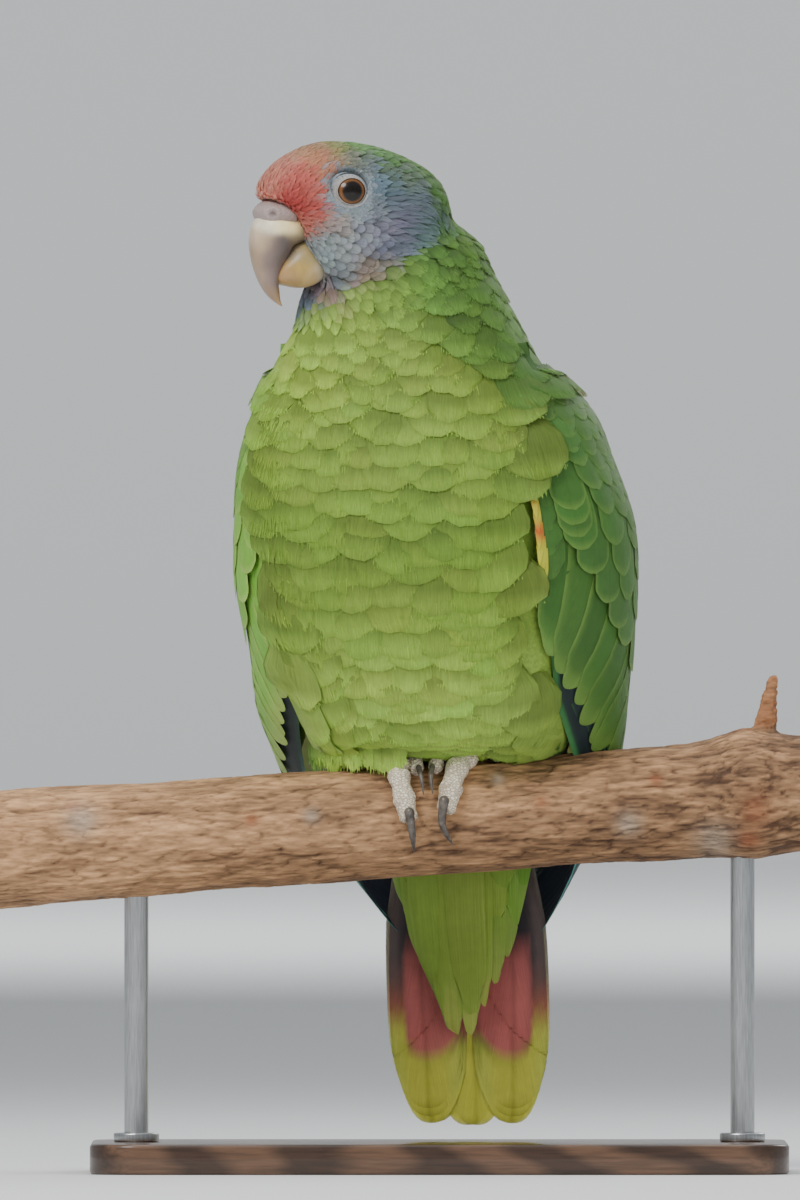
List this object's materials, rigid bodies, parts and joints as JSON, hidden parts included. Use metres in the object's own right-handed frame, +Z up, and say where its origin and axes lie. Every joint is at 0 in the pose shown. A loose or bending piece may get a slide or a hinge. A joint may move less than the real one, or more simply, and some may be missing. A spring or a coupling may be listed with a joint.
{
  "type": "red-tailed amazon parrot",
  "caption": "Life-size green parrot with a red forehead, blue cheeks and banded tail, gripping a cut length of branch held by a plain stand.",
  "frame": {"origin": "centre of the underside of the stand's base, on the surface that the stand rests on", "axes": "+Z up, -Y the way the bird's breast roughly faces, +X towards the bird's left wing; the head is turned towards -X"},
  "size_m": [0.288, 0.124, 0.341],
  "materials": {
    "plumage_green": "soft matte feathers",
    "plumage_head": "fine matte feathers, red to blue",
    "wing_feathers": "smooth feathers with a faint sheen",
    "flight_feathers": "dark feathers, blue-edged",
    "tail_feathers": "smooth feathers, banded crimson and yellow-green",
    "bill_horn": "satin horn",
    "cere_skin": "bare matte skin",
    "tongue_flesh": "moist",
    "eye": "wet gloss",
    "foot_skin": "scaly matte skin",
    "claw_horn": "satin dark horn",
    "bark": "rough bark",
    "stand_wood": "dark satin varnish",
    "stand_steel": "brushed"
  },
  "bodies": {
    "root": {"head": "plumage_head", "neck": "plumage_green", "trunk": "plumage_green", "bill_upper": "bill_horn", "bill_lower": "bill_horn", "cere": "cere_skin", "tongue": "tongue_flesh", "eye_left": "eye", "eye_right": "eye", "wing_left": "wing_feathers", "wing_right": "wing_feathers", "wing_quills_left": "flight_feathers", "wing_quills_right": "flight_feathers", "tail": "tail_feathers", "tail_coverts_under": "plumage_green", "tail_coverts_upper": "wing_feathers", "shank_left": "foot_skin", "shank_right": "foot_skin", "toe_left_1": "foot_skin", "claw_left_1": "claw_horn", "toe_left_2": "foot_skin", "claw_left_2": "claw_horn", "toe_left_3": "foot_skin", "claw_left_3": "claw_horn", "toe_left_4": "foot_skin", "claw_left_4": "claw_horn", "toe_right_1": "foot_skin", "claw_right_1": "claw_horn", "toe_right_2": "foot_skin", "claw_right_2": "claw_horn", "toe_right_3": "foot_skin", "claw_right_3": "claw_horn", "toe_right_4": "foot_skin", "claw_right_4": "claw_horn", "branch": "bark", "stand_base": "stand_wood", "stand_rod_left": "stand_steel", "stand_rod_right": "stand_steel"}
  },
  "joints": []
}
